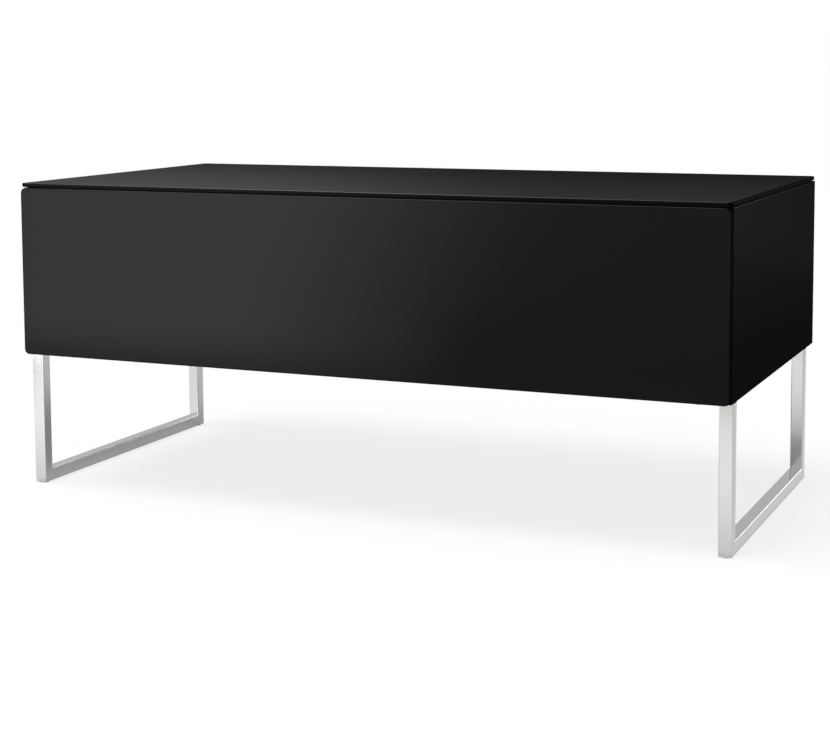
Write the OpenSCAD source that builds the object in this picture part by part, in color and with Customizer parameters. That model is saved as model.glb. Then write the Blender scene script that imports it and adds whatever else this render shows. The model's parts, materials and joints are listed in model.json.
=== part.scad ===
// Audio rack: a lined box with a glass top and a drop-down glass flap, on two sled legs.
// Millimetres. The origin is on the floor under the middle of the rack.
// X runs along the width, the flap is at -Y, and Z is up. The flap is shut.

/* [Overall] */
// Overall width
rack_w = 1100; // [1000:10:1300]
// Overall depth
rack_d = 550; // [500:10:620]
// Overall height, from the floor to the upper face of the top glass
rack_h = 470; // [450:5:520]
// Height of the box, from its underside to the upper face of the top glass
box_h = 264; // [254:2:284]

/* [Glass] */
// Thickness of the top glass
top_glass_t = 6; // [4:1:8]
// Height of the shadow gap under the top glass, which its pads fill
shadow_gap = 1.5; // [1:0.25:4]
// Thickness of the flap glass
flap_glass_t = 6; // [5:1:8]
// Corner radius of both glasses
glass_r = 8; // [4:1:12]
// Width of the ground edge on both glasses
glass_edge = 1; // [0.5:0.25:1.5]
// Diameter of the clear pads under the top glass
pad_d = 20; // [14:1:26]
// Distance of the outer pads from the edges of the top glass
pad_inset = 60; // [50:5:90]

/* [Carcass] */
// Thickness of the side panels
side_t = 18; // [16:1:22]
// Thickness of the top panel, the bottom panel and the partition
board_t = 16; // [16:1:19]
// Width of the eased edges of the side panels
side_edge = 0.8; // [0.5:0.1:1.2]
// Thickness of the back panels
back_t = 5; // [4:1:8]
// Distance of the back panels' outer face from the back edges of the sides
back_inset = 15; // [10:1:25]
// Gap round the edges of each back panel
back_gap = 1; // [0.5:0.5:2]

/* [Flap] */
// Gap between the flap glass and the front edges of the sides
side_gap = 4; // [3:0.5:6]
// Thickness of the board behind the flap glass
leaf_t = 16; // [14:1:18]
// Gap between the flap board and the front edges of the carcass boards
leaf_gap = 3; // [3:0.5:5]
// Gap between the flap board and the side panels, and under the top glass
leaf_clear = 2; // [1.5:0.5:4]
// Height of the hinge axis above the underside of the box
hinge_up = 2; // [1.5:0.25:2.25]
// Outer radius of the hinge knuckles
knuckle_r = 2.75; // [2.5:0.25:3]
// Radius of the hinge pins
hinge_pin_r = 1.25; // [1:0.25:1.5]
// Thickness of the hinge leaves
hinge_t = 1.2; // [1:0.1:1.5]
// Length of each hinge
hinge_len = 80; // [60:5:100]
// Distance of the outer hinges' middle from the side panels
hinge_in = 132; // [120:2:180]
// Width of the fixed hinge leaf on the bottom panel
hinge_wing = 22; // [18:1:30]
// Free length of the bumpers behind the flap board
bumper_l = 2.7; // [2:0.1:2.9]
// Diameter of the flap bumpers
bumper_d = 10; // [8:1:12]
// Distance of the flap bumpers from the side panels
bumper_in = 232; // [120:4:240]

/* [Flap dampers] */
// Distance of the bracket pin behind the hinge axis
bracket_back = 24; // [22:1:30]
// Height of the bracket pin above the hinge axis
bracket_up = 70; // [60:2:80]
// Distance of the damper axle behind the hinge axis
stay_back = 60; // [54:2:70]
// Height of the damper axle above the hinge axis
stay_up = 40; // [38:1:46]
// Thickness of the damper housing
housing_t = 10; // [8:1:12]
// Radius of the round part of the damper housing
housing_r = 20; // [16:1:20]
// Length of the damper housing between its round ends
housing_l = 48; // [44:2:52]
// Thickness of the lever, the rod and the bracket ear
link_t = 3; // [2.5:0.5:4]
// Radius of the eyes at the ends of the lever and the rod
eye_r = 7; // [6:0.5:8]
// Width of the bar between the eyes
link_w = 10; // [8:1:12]
// Radius of the damper axle
axle_r = 4; // [3:0.5:5]
// Radius of the rod's rivet and of the bracket pin
rivet_r = 2; // [1.5:0.25:2.5]
// Clearance round the bracket pin, in the rod's open eye
open_clear = 0.3; // [0.2:0.05:0.4]

/* [Touch latches] */
// Distance of each latch from the inner face of its side panel
latch_in = 60; // [50:5:90]
// Distance of the latch body behind the front edge of the top panel
latch_setback = 2; // [1:0.5:4]
// Width of the latch body
latch_w = 18; // [16:1:22]
// Length of the latch body
latch_l = 60; // [55:1:70]
// Height of the latch body
latch_h = 13; // [12:0.5:16]
// Radius of the plunger
plunger_r = 4; // [3:0.5:4.5]
// Travel of the plunger when the flap is pressed
plunger_travel = 3; // [2:0.5:4]
// Length of the plunger inside the latch body
plunger_l = 40; // [30:1:44]
// Gap between the plunger and the strike plate
strike_gap = 0.3; // [0.2:0.1:0.6]
// Thickness of the strike plates
strike_t = 1; // [0.8:0.1:1.5]

/* [Shelves] */
// Thickness of the shelves
shelf_t = 16; // [12:1:19]
// Height of the shelves' underside above the floor of the bay
shelf_up = 113; // [110:1:125]
// Gap at each end of a shelf
shelf_gap = 1; // [1:0.5:3]
// Distance of the shelves' front edge behind the carcass's front edge
shelf_setback = 60; // [40:5:100]
// Distance of the shelves' back edge from the back panel
shelf_back_gap = 25; // [20:5:50]
// Distance of the shelf pins from the shelf's front and back edges
pin_inset = 40; // [30:5:80]
// Radius of the shelf pins
pin_r = 2.5; // [2:0.5:3]
// Distance between the rows of shelf pin holes
hole_pitch = 32; // [25:1:32]

/* [Cable ways and vents] */
// Radius of the cable outlets in the back panels
outlet_r = 30; // [24:1:32]
// Height of the cable outlets and of the cable pass above the floor of the bay
outlet_up = 45; // [40:1:60]
// Wall of the outlet grommets
grommet_wall = 2.5; // [2:0.5:4]
// Width of the grommets' outer flange
grommet_lip = 6; // [4:0.5:8]
// Radius of the cable pass in the partition
pass_r = 25; // [20:1:28]
// Distance of the cable pass from the back panels
pass_in = 45; // [35:1:70]
// Length of the vent slots
vent_l = 90; // [60:5:120]
// Width of the vent slots
vent_w = 6; // [4:0.5:8]
// Distance between neighbouring vent slots
vent_pitch = 16; // [14:1:20]
// Distance of the upper vent slots below the top panel
vent_drop = 30; // [20:1:40]

/* [Legs] */
// Width of the square tube
tube_w = 19; // [18:1:25]
// Wall of the square tube
tube_wall = 2; // [1.5:0.5:3]
// Distance of the front posts behind the front of the flap
leg_front = 20; // [16:1:40]
// Distance of the back posts from the back of the box
leg_back = 50; // [20:1:60]
// Height of the floor glides
glide_h = 1.5; // [1:0.5:3]
// Radius of the floor glides
glide_r = 7; // [5:1:9]
// Side of the square fixing plates
plate_w = 60; // [56:1:64]
// Thickness of the fixing plates
plate_t = 3; // [3:0.5:5]
// Radius of the leg bolts
leg_bolt_r = 3; // [2.5:0.5:4]

/* [Joinery] */
// Distance of the outer cam fittings from the middle of the depth
cam_pitch = 140; // [120:5:160]
// Distance of the cam locks from the side panels
cam_in = 34; // [30:1:40]
// Radius of the cam locks
cam_r = 7.5; // [6:0.5:8]
// Height of the cam locks
cam_h = 12; // [12:0.5:13]
// Radius of the cam bolts
cam_bolt_r = 3; // [2.5:0.25:3.5]
// Radius of the dowels
dowel_r = 4; // [3:0.5:4.5]
// Length of the dowels
dowel_l = 30; // [26:1:34]
// Depth to which cam bolts and dowels enter a side panel
side_bite = 10; // [8:1:12]
// Length of the screws that hold the partition
part_screw_l = 50; // [40:2:60]
// Distance of the outer partition screws from the middle of the depth
part_screw_pitch = 180; // [150:5:200]

/* [Hidden] */

$fn = 48;
// Radial clearance of a shaft, screw or fitting in its hole
fit = 0.05;
// Extra depth of a blind hole past the end of what it holds
hole_end = 0.5;
// Overshoot of a cut past an open face
cut = 1;
// Depth and radius of a screw's drive hole, as shares of its head
drive_depth = 0.6;
drive_width = 0.45;
// Radius of a countersunk screw's drive hole, as a share of its shank
sunk_drive_width = 0.8;

// Levels and faces of the box
box_z0 = rack_h - box_h;
box_z1 = rack_h - top_glass_t - shadow_gap;
bay_z0 = box_z0 + board_t;
bay_z1 = box_z1 - board_t;
front_y = -rack_d / 2;
back_y = rack_d / 2;
glass_in_y = front_y + flap_glass_t;
side_y0 = glass_in_y + side_gap;
leaf_y1 = glass_in_y + leaf_t;
board_y0 = leaf_y1 + leaf_gap;
board_y1 = back_y - back_inset - back_t;
in_x = rack_w / 2 - side_t;
pads_in_row = 4;
bay_w = in_x - board_t / 2;
bay_cx = board_t / 2 + bay_w / 2;

// Hinge axis, and the flap board round it
hinge_clear = 0.5;
hinge_y = glass_in_y + knuckle_r + hinge_clear;
hinge_z = box_z0 + hinge_up;
leaf_z0 = hinge_z + knuckle_r + hinge_clear;
leaf_z1 = box_z1 - leaf_clear;
leaf_x = in_x - leaf_clear;
knuckles = 5;
knuckle_gap = 0.3;
knuckle_l = hinge_len / knuckles;
hinge_xs = [hinge_in - in_x, 0, in_x - hinge_in];
hinge_screw_xs = [-hinge_len / 2 + knuckle_l / 2, 0, hinge_len / 2 - knuckle_l / 2];
hinge_plate_y0 = hinge_y + knuckle_r + hinge_clear;
fixed_plate_y1 = board_y0 + hinge_wing;
flap_plate_y1 = leaf_y1 - leaf_clear;
fixed_plate_z0 = hinge_z - knuckle_r;
flap_plate_z0 = leaf_z0 - hinge_t;
fixed_screw_y = board_y0 + hinge_wing / 2;
flap_screw_y = (hinge_plate_y0 + flap_plate_y1) / 2;
hinge_screw_r = 1.4;
hinge_head_r = 2.6;
fixed_screw_cover = 3;
fixed_screw_l = board_t - fixed_screw_cover;
flap_screw_l = 20;
pin_head_r = 1.9;
pin_head_t = 0.8;

// Damper linkage in the Y and Z of the side view: each point is [y, z]
hinge_pt = [hinge_y, hinge_z];
bracket_pt = hinge_pt + [bracket_back, bracket_up];
axle_pt = hinge_pt + [stay_back, stay_up];
lever_pt = axle_pt + [bracket_back, bracket_up];
// Layers of the linkage, as distances from the inner face of the side panel
layer_gap = 0.5;
rivet_gap = 1.5;
lever_k = housing_t + layer_gap;
rod_k = lever_k + link_t + rivet_gap;
ear_k = rod_k + link_t + layer_gap;
rivet_head = 1;
rivet_lip = 1.5;
rivet_head_r = rivet_r + rivet_lip;
axle_lip = 2;
axle_head_r = axle_r + axle_lip;
axle_bury = 2;
bracket_base_t = 2;
bracket_base_w = 16;
bracket_base_l = 44;
bracket_screw_x = in_x - ear_k - bracket_base_w / 2;
bracket_screw_dz = 14;
bracket_screw_r = 2;
bracket_screw_l = 12;
housing_screw_r = 2;
housing_head_r = 4;
housing_sink = 3;
housing_bite = 12;
housing_screw_l = housing_t - housing_sink + housing_bite;

// Touch latches
latch_x = in_x - latch_in;
latch_z = bay_z1 - latch_h / 2;
latch_y0 = board_y0 + latch_setback;
plunger_y0 = leaf_y1 + strike_t + strike_gap;
plunger_y1 = latch_y0 + plunger_l;
plunger_nose = 1;
latch_ear_in = 12;
latch_ears = [latch_ear_in, latch_l - latch_ear_in];
latch_ear_w = 12;
latch_ear_t = 3;
latch_ear_out = 8;
latch_ear_x = latch_w / 2 + latch_ear_out / 2;
latch_screw_r = 1.5;
latch_head_r = 2.8;
latch_screw_l = 13;
strike_w = 30;
strike_h = 12;
strike_screw_x = 10;
strike_screw_l = 12;
small_head_h = 1.8;
bumper_x = in_x - bumper_in;

// Shelves and their pins
shelf_z0 = bay_z0 + shelf_up;
shelf_y0 = board_y0 + shelf_setback;
shelf_y1 = board_y1 - shelf_back_gap;
pin_z = shelf_z0 - pin_r;
pin_ys = [shelf_y0 + pin_inset, shelf_y1 - pin_inset];
pin_bury = 6.5;
pin_out = 8;

// Back panels
back_y0 = board_y1;
back_y1 = board_y1 + back_t;
outlet_z = bay_z0 + outlet_up;
grommet_t = 2;
pass_y = board_y1 - pass_in;
back_x0 = back_gap / 2;
back_x1 = in_x - back_gap;
back_z0 = box_z0 + back_gap;
back_z1 = box_z1 - back_gap;
vent_rows = 4;
vent_top_z = bay_z1 - vent_drop;
vent_xs = [bay_cx - vent_l, bay_cx + vent_l];
back_screw_r = 1.75;
back_head_r = 3.5;
back_screw_bite = 13;
back_screw_l = back_t + back_screw_bite;
back_screw_in = 20;
back_screw_xs = [back_x0 + back_screw_in, bay_cx, back_x1 - back_screw_in];
// The partition's screws lie side by side in its back edge, one for each back panel
back_mid_x = board_t / 4;
back_mid_z = (bay_z0 + bay_z1) / 2;
board_mid_zs = [box_z0 + board_t / 2, box_z1 - board_t / 2];

// Joinery
cam_ys = [-cam_pitch, 0, cam_pitch];
dowel_ys = [-cam_pitch / 2, cam_pitch / 2];
cam_x = in_x - cam_in;
cam_slot_w = 1.4;
cam_slot_l = 9;
cam_slot_t = 1;
part_screw_ys = [-part_screw_pitch, 0, part_screw_pitch];
part_screw_r = 2.5;
part_head_r = 4.5;
part_head_h = 4;

// Legs
leg_x0 = rack_w / 2 - tube_w;
leg_y0 = front_y + leg_front;
leg_y1 = back_y - leg_back;
plate_x1 = leg_x0;
plate_x0 = plate_x1 - plate_w;
plate_ys = [leg_y0, leg_y1 - plate_w];
leg_bolt_x = plate_x0 + plate_w / 2;
leg_bolt_dy = 18;
leg_head_r = 5;
leg_head_h = 3;
insert_wall = 2;
insert_r = leg_bolt_r + insert_wall;
insert_l = 12;

// Colours as the photo shows them, and plain ones for what it hides
glass_black = "#1d1d20";
lacquer_black = "#161617";
board_black = "#202022";
steel = "#d2d3d4";
zinc = "#a9acb0";
plastic_black = "#19191b";
clear_grey = "#c9ced0";
beech = "#c9a574";
felt_grey = "#6f7072";

// A box from its lowest to its highest corner
module block(low, high) {
    translate(low) cube(high - low);
}

// A rectangle with its corner at the origin and its corners cut off
module cut_rect(a, b, e) {
    polygon([[e, 0], [a - e, 0], [a, e], [a, b - e], [a - e, b], [e, b], [0, b - e], [0, e]]);
}

// A box with every edge cut off at 45 degrees
module eased_block(low, high, e) {
    size = high - low;
    translate(low) intersection() {
        linear_extrude(height = size.z) cut_rect(size.x, size.y, e);
        translate([0, size.y, 0]) rotate([90, 0, 0])
            linear_extrude(height = size.y) cut_rect(size.x, size.z, e);
        rotate([90, 0, 90]) linear_extrude(height = size.x) cut_rect(size.y, size.z, e);
    }
}

// A glass sheet lying on the XY plane, centred, with round corners and ground edges
module glass_sheet(w, d, t) {
    intersection() {
        eased_block([-w / 2, -d / 2, 0], [w / 2, d / 2, t], glass_edge);
        union() {
            block([-w / 2 + glass_r, -d / 2, 0], [w / 2 - glass_r, d / 2, t]);
            block([-w / 2, -d / 2 + glass_r, 0], [w / 2, d / 2 - glass_r, t]);
            for (sx = [-1, 1], sy = [-1, 1])
                bar_z(0, t, sx * (w / 2 - glass_r), sy * (d / 2 - glass_r), glass_r);
        }
    }
}

// Round bars along each axis, from one coordinate to another
module bar_x(x0, x1, y, z, r) {
    translate([x0, y, z]) rotate([0, 90, 0]) cylinder(h = x1 - x0, r = r);
}

module bar_y(y0, y1, x, z, r) {
    translate([x, y0, z]) rotate([-90, 0, 0]) cylinder(h = y1 - y0, r = r);
}

module bar_z(z0, z1, x, y, r) {
    translate([x, y, z0]) cylinder(h = z1 - z0, r = r);
}

// A screw along +Z with the underside of its flat head at the origin
module flat_screw(r, l, head_r, head_h) {
    difference() {
        union() {
            cylinder(h = l, r = r);
            translate([0, 0, -head_h]) cylinder(h = head_h, r = head_r);
        }
        translate([0, 0, -head_h - cut])
            cylinder(h = cut + head_h * drive_depth, r = head_r * drive_width, $fn = 6);
    }
}

// A countersunk screw along +Z with the face of its head at the origin
module sunk_screw(r, l, head_r, head_h) {
    difference() {
        union() {
            cylinder(h = head_h, r1 = head_r, r2 = r);
            cylinder(h = l, r = r);
        }
        translate([0, 0, -cut]) cylinder(h = cut + head_h * drive_depth, r = r * sunk_drive_width, $fn = 6);
    }
}

// The countersunk hole for that screw
module sunk_hole(r, l, head_r, head_h) {
    cylinder(h = head_h, r1 = head_r + fit, r2 = r + fit);
    translate([0, 0, -cut]) cylinder(h = cut + l + hole_end, r = r + fit);
}

// The same thing at both ends of the rack
module both_sides() {
    children();
    mirror([1, 0, 0]) children();
}

// Glass top and its pads
module top_glass() {
    color(glass_black) translate([0, 0, rack_h - top_glass_t]) glass_sheet(rack_w, rack_d, top_glass_t);
}

module glass_pads() {
    pad_x = rack_w / 2 - pad_inset;
    pad_y = rack_d / 2 - pad_inset;
    pad_pitch = 2 * pad_x / (pads_in_row - 1);
    color(clear_grey)
        for (i = [0 : pads_in_row - 1], y = [-pad_y, pad_y])
            bar_z(box_z1, box_z1 + shadow_gap, i * pad_pitch - pad_x, y, pad_d / 2);
}

// Holes in the end of a board: for cam bolts and dowels at mid_z, and for cams between z0 and z1
module end_joint_holes(mid_z, z0, z1) {
    for (y = cam_ys) {
        bar_x(cam_x, in_x + cut, y, mid_z, cam_bolt_r + fit);
        bar_z(z0, z1, cam_x, y, cam_r + fit);
    }
    for (y = dowel_ys)
        bar_x(in_x - dowel_l + side_bite - hole_end, in_x + cut, y, mid_z, dowel_r + fit);
}

// Hole in a board's back edge for a screw of the back panels
module back_edge_hole(x, z) {
    bar_y(board_y1 - back_screw_bite - hole_end, board_y1 + cut, x, z, back_screw_r + fit);
}

// Carcass boards
module top_panel() {
    color(board_black) difference() {
        block([-in_x, board_y0, bay_z1], [in_x, board_y1, box_z1]);
        both_sides() {
            end_joint_holes(board_mid_zs[1], box_z1 - cam_h, box_z1 + cut);
            for (x = back_screw_xs)
                back_edge_hole(x, board_mid_zs[1]);
            for (y = latch_ears, s = [-1, 1])
                bar_z(bay_z1 - cut, bay_z1 + latch_screw_l - latch_ear_t + hole_end,
                    latch_x + s * latch_ear_x, latch_y0 + y, latch_screw_r + fit);
        }
        for (y = part_screw_ys)
            translate([0, y, box_z1]) mirror([0, 0, 1]) partition_screw_hole();
    }
}

module bottom_panel() {
    color(board_black) difference() {
        block([-in_x, board_y0, box_z0], [in_x, board_y1, bay_z0]);
        both_sides() {
            end_joint_holes(board_mid_zs[0], box_z0 - cut, box_z0 + cam_h);
            for (x = back_screw_xs)
                back_edge_hole(x, board_mid_zs[0]);
            for (y = plate_ys, s = [-1, 1])
                bar_z(box_z0 - cut, box_z0 + insert_l + hole_end,
                    leg_bolt_x, y + plate_w / 2 + s * leg_bolt_dy, insert_r + fit);
        }
        for (x = hinge_xs) {
            block([x - hinge_len / 2 - fit, board_y0 - cut, box_z0 - cut],
                [x + hinge_len / 2 + fit, fixed_plate_y1 + fit, fixed_plate_z0 + hinge_t]);
            for (dx = hinge_screw_xs)
                translate([x + dx, fixed_screw_y, fixed_plate_z0])
                    sunk_hole(hinge_screw_r, fixed_screw_l, hinge_head_r, hinge_t);
        }
        for (y = part_screw_ys)
            translate([0, y, box_z0]) partition_screw_hole();
    }
}

// Side panel on the right
module side_panel() {
    color(lacquer_black) difference() {
        eased_block([in_x, side_y0, box_z0], [rack_w / 2, back_y, box_z1], side_edge);
        for (z = board_mid_zs) {
            for (y = cam_ys)
                bar_x(in_x - cut, in_x + side_bite + hole_end, y, z, cam_bolt_r + fit);
            for (y = dowel_ys)
                bar_x(in_x - cut, in_x + side_bite + hole_end, y, z, dowel_r + fit);
        }
        for (y = pin_ys, row = [-1, 0, 1])
            bar_x(in_x - cut, in_x + pin_bury + hole_end, y, pin_z + row * hole_pitch, pin_r + fit);
        for (s = [-1, 1])
            bar_x(in_x - cut, in_x + housing_screw_l - housing_t + housing_sink + hole_end,
                axle_pt[0] + s * housing_l / 2, axle_pt[1], housing_screw_r + fit);
    }
}

module side_panel_right() {
    side_panel();
}

module side_panel_left() {
    mirror([1, 0, 0]) side_panel();
}

module centre_partition() {
    half = board_t / 2;
    color(board_black) difference() {
        block([-half, board_y0, bay_z0], [half, board_y1, bay_z1]);
        both_sides() for (y = pin_ys, row = [-1, 0, 1])
            bar_x(half - pin_bury - hole_end, half + cut, y, pin_z + row * hole_pitch, pin_r + fit);
        bar_x(-half - cut, half + cut, pass_y, outlet_z, pass_r);
        for (y = part_screw_ys) {
            translate([0, y, box_z0]) partition_screw_hole();
            translate([0, y, box_z1]) mirror([0, 0, 1]) partition_screw_hole();
        }
        both_sides() back_edge_hole(back_mid_x, back_mid_z);
    }
}

// Back panel on the right, with its vents, cable outlet and screw holes
module back_panel() {
    color(board_black) difference() {
        block([back_x0, back_y0, back_z0], [back_x1, back_y1, back_z1]);
        bar_y(back_y0 - cut, back_y1 + cut, bay_cx, outlet_z, outlet_r);
        for (x = vent_xs, row = [0 : vent_rows - 1])
            vent_slot(x, vent_top_z - row * vent_pitch);
        for (p = back_screw_spots())
            bar_y(back_y0 - cut, back_y1 + cut, p[0], p[1], back_screw_r + fit);
    }
}

module vent_slot(x, z) {
    straight = (vent_l - vent_w) / 2;
    block([x - straight, back_y0 - cut, z - vent_w / 2], [x + straight, back_y1 + cut, z + vent_w / 2]);
    for (s = [-1, 1])
        bar_y(back_y0 - cut, back_y1 + cut, x + s * straight, z, vent_w / 2);
}

module back_panel_right() {
    back_panel();
}

module back_panel_left() {
    mirror([1, 0, 0]) back_panel();
}

// Where the screws of the right back panel sit, as [x, z]
function back_screw_spots() = concat(
    [for (x = back_screw_xs, z = board_mid_zs) [x, z]],
    [[back_mid_x, back_mid_z]]
);

module back_screws() {
    color(zinc) both_sides() for (p = back_screw_spots())
        translate([p[0], back_y1, p[1]]) rotate([90, 0, 0])
            flat_screw(back_screw_r, back_screw_l, back_head_r, small_head_h);
}

// Each grommet lines its outlet and lies on the outer face of the back panel
module cable_grommets() {
    color(plastic_black) both_sides() difference() {
        union() {
            bar_y(back_y0, back_y1 + grommet_t, bay_cx, outlet_z, outlet_r - fit);
            bar_y(back_y1, back_y1 + grommet_t, bay_cx, outlet_z, outlet_r + grommet_lip);
        }
        bar_y(back_y0 - cut, back_y1 + grommet_t + cut, bay_cx, outlet_z, outlet_r - grommet_wall);
    }
}

// Shelf on the right, and the pins that carry both shelves
module shelf() {
    x0 = board_t / 2 + shelf_gap;
    color(board_black) block([x0, shelf_y0, shelf_z0], [in_x - shelf_gap, shelf_y1, shelf_z0 + shelf_t]);
}

module shelf_right() {
    shelf();
}

module shelf_left() {
    mirror([1, 0, 0]) shelf();
}

module shelf_pins() {
    half = board_t / 2;
    color(zinc) both_sides() for (y = pin_ys) {
        bar_x(in_x - pin_out, in_x + pin_bury, y, pin_z, pin_r);
        bar_x(half - pin_bury, half + pin_out, y, pin_z, pin_r);
    }
}

// Flap glass, and the board glued behind it
module flap_glass() {
    color(glass_black) translate([0, glass_in_y, (box_z0 + box_z1) / 2]) rotate([90, 0, 0])
        glass_sheet(rack_w, box_z1 - box_z0, flap_glass_t);
}

module flap_board() {
    color(board_black) difference() {
        block([-leaf_x, glass_in_y, leaf_z0], [leaf_x, leaf_y1, leaf_z1]);
        for (x = hinge_xs, dx = hinge_screw_xs)
            translate([x + dx, flap_screw_y, flap_plate_z0])
                sunk_hole(hinge_screw_r, flap_screw_l, hinge_head_r, hinge_t);
        both_sides() for (s = [-1, 1]) {
            bar_y(leaf_y1 + bracket_base_t - bracket_screw_l - hole_end, leaf_y1 + cut,
                bracket_screw_x, bracket_pt[1] + s * bracket_screw_dz, bracket_screw_r + fit);
            bar_y(leaf_y1 + strike_t - strike_screw_l - hole_end, leaf_y1 + cut,
                latch_x + s * strike_screw_x, latch_z, latch_screw_r + fit);
        }
    }
}

module flap_bumpers() {
    color(clear_grey) both_sides()
        bar_y(board_y0 - bumper_l, board_y0, bumper_x, board_mid_zs[1], bumper_d / 2);
}

// The stretch of hinge knuckle number i, counted from the left end, as [x0, x1]
function knuckle_span(i) = [
    -hinge_len / 2 + i * knuckle_l + (i == 0 ? 0 : knuckle_gap / 2),
    -hinge_len / 2 + (i + 1) * knuckle_l - (i == knuckles - 1 ? 0 : knuckle_gap / 2)
];

// One hinge leaf about the axis: the knuckles numbered in picks, and the plate at z0 back to y1
module hinge_leaf(picks, y1, z0, screw_y) {
    difference() {
        union() {
            block([-hinge_len / 2, hinge_plate_y0, z0], [hinge_len / 2, y1, z0 + hinge_t]);
            for (i = picks) {
                span = knuckle_span(i);
                bar_x(span[0], span[1], hinge_y, hinge_z, knuckle_r);
                block([span[0], hinge_y, z0], [span[1], hinge_plate_y0 + fit, z0 + hinge_t]);
            }
        }
        bar_x(-hinge_len, hinge_len, hinge_y, hinge_z, hinge_pin_r + fit);
        for (dx = hinge_screw_xs)
            translate([dx, screw_y, z0]) sunk_hole(hinge_screw_r, hinge_t, hinge_head_r, hinge_t);
    }
}

module hinge_leaves_fixed() {
    color(zinc) for (x = hinge_xs)
        translate([x, 0, 0]) hinge_leaf([0, 2, 4], fixed_plate_y1, fixed_plate_z0, fixed_screw_y);
}

module hinge_leaves_flap() {
    color(zinc) for (x = hinge_xs)
        translate([x, 0, 0]) hinge_leaf([1, 3], flap_plate_y1, flap_plate_z0, flap_screw_y);
}

module hinge_pins() {
    half = hinge_len / 2 + fit;
    color(zinc) for (x = hinge_xs) {
        bar_x(x - half - pin_head_t, x + half + pin_head_t, hinge_y, hinge_z, hinge_pin_r);
        bar_x(x - half - pin_head_t, x - half, hinge_y, hinge_z, pin_head_r);
        bar_x(x + half, x + half + pin_head_t, hinge_y, hinge_z, pin_head_r);
    }
}

module hinge_screws_fixed() {
    color(zinc) for (x = hinge_xs, dx = hinge_screw_xs)
        translate([x + dx, fixed_screw_y, fixed_plate_z0])
            sunk_screw(hinge_screw_r, fixed_screw_l, hinge_head_r, hinge_t);
}

module hinge_screws_flap() {
    color(zinc) for (x = hinge_xs, dx = hinge_screw_xs)
        translate([x + dx, flap_screw_y, flap_plate_z0])
            sunk_screw(hinge_screw_r, flap_screw_l, hinge_head_r, hinge_t);
}

// A round piece of the linkage on the right, k0 to k1 from the side panel, at a [y, z] point
module link_round(k0, k1, p, r) {
    bar_x(in_x - k1, in_x - k0, p[0], p[1], r);
}

// A flat link with an eye at each end
module link(k0, p, q) {
    d = q - p;
    difference() {
        union() {
            link_round(k0, k0 + link_t, p, eye_r);
            link_round(k0, k0 + link_t, q, eye_r);
            translate([in_x - k0 - link_t, p[0], p[1]]) rotate([atan2(d[1], d[0]), 0, 0])
                translate([0, 0, -link_w / 2]) cube([link_t, norm(d), link_w]);
        }
        children();
    }
}

module damper_housing() {
    color(plastic_black) difference() {
        union() {
            link_round(0, housing_t, axle_pt, housing_r);
            for (s = [-1, 1])
                link_round(0, housing_t, axle_pt + [s * housing_l / 2, 0], housing_r / 2);
            block([in_x - housing_t, axle_pt[0] - housing_l / 2, axle_pt[1] - housing_r / 2],
                [in_x, axle_pt[0] + housing_l / 2, axle_pt[1] + housing_r / 2]);
        }
        link_round(axle_bury - hole_end, housing_t + cut, axle_pt, axle_r + fit);
        for (s = [-1, 1]) {
            screw_pt = axle_pt + [s * housing_l / 2, 0];
            link_round(-cut, housing_t + cut, screw_pt, housing_screw_r + fit);
            link_round(housing_t - housing_sink, housing_t + cut, screw_pt, housing_head_r + fit);
        }
    }
}

module damper_housing_right() {
    damper_housing();
}

module damper_housing_left() {
    mirror([1, 0, 0]) damper_housing();
}

module damper_screws() {
    color(zinc) both_sides() for (s = [-1, 1])
        translate([in_x - housing_t + housing_sink, axle_pt[0] + s * housing_l / 2, axle_pt[1]])
            rotate([0, 90, 0]) flat_screw(housing_screw_r, housing_screw_l, housing_head_r, small_head_h);
}

// The lever turns with the flap: it is as long as the way from hinge to bracket pin, and parallel to it
module damper_lever() {
    color(steel) link(lever_k, axle_pt, lever_pt) {
        link_round(lever_k - cut, lever_k + link_t + cut, axle_pt, axle_r + fit);
        link_round(lever_k - cut, lever_k + link_t + cut, lever_pt, rivet_r + fit);
    }
}

module damper_lever_right() {
    damper_lever();
}

module damper_lever_left() {
    mirror([1, 0, 0]) damper_lever();
}

module damper_axle() {
    color(zinc) {
        link_round(axle_bury, lever_k + link_t, axle_pt, axle_r);
        link_round(lever_k + link_t, lever_k + link_t + rivet_head, axle_pt, axle_head_r);
    }
}

module damper_axle_right() {
    damper_axle();
}

module damper_axle_left() {
    mirror([1, 0, 0]) damper_axle();
}

// The rod keeps its direction: it is as long as the way from hinge to damper axle
module damper_rod() {
    color(steel) link(rod_k, lever_pt, bracket_pt) {
        link_round(rod_k - cut, rod_k + link_t + cut, lever_pt, rivet_r + fit);
        link_round(rod_k - cut, rod_k + link_t + cut, bracket_pt, rivet_r + open_clear);
    }
}

module damper_rod_right() {
    damper_rod();
}

module damper_rod_left() {
    mirror([1, 0, 0]) damper_rod();
}

// The rivet is set in the lever, and the rod turns on it
module rod_rivet() {
    color(zinc) {
        link_round(lever_k, rod_k + link_t + fit, lever_pt, rivet_r);
        link_round(lever_k + link_t, rod_k - fit, lever_pt, rivet_head_r);
        link_round(rod_k + link_t + fit, rod_k + link_t + fit + rivet_head, lever_pt, rivet_head_r);
    }
}

module rod_rivet_right() {
    rod_rivet();
}

module rod_rivet_left() {
    mirror([1, 0, 0]) rod_rivet();
}

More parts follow.
